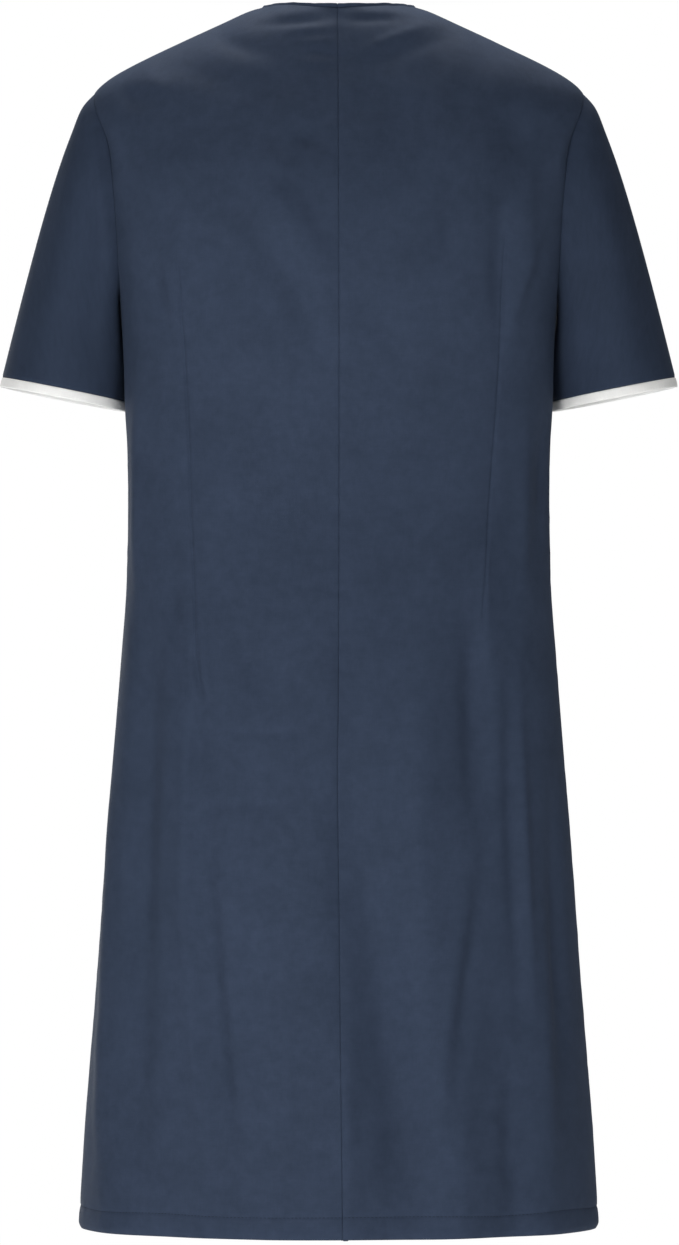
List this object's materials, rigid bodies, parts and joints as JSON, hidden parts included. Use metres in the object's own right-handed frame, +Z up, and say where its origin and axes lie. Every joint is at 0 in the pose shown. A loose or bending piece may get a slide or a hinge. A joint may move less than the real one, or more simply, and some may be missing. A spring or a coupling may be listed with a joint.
{
  "type": "nurse uniform dress",
  "caption": "Short-sleeved knee-length A-line uniform dress in worn form, hollow, with back seam, set-in sleeves, white cuff bands and a V neck in front",
  "frame": {"origin": "midway between the two high points of the shoulders, at the neck, where the wearer's shoulders hold the dress", "axes": "+X to the wearer's left and the plane X = 0 is the left-right symmetry plane, +Y to the wearer's back, +Z up along the dress"},
  "size_m": [0.5796, 0.3172, 1.0381],
  "materials": {
    "navy_fabric": "plain-weave poly-cotton, matt with a faint sheen",
    "white_band_fabric": "plain-weave poly-cotton, matt"
  },
  "bodies": {
    "root": {"back_left": "navy_fabric", "back_right": "navy_fabric", "front": "navy_fabric", "sleeve_left": "navy_fabric", "sleeve_right": "navy_fabric", "cuff_band_left": "white_band_fabric", "cuff_band_right": "white_band_fabric"}
  },
  "joints": []
}
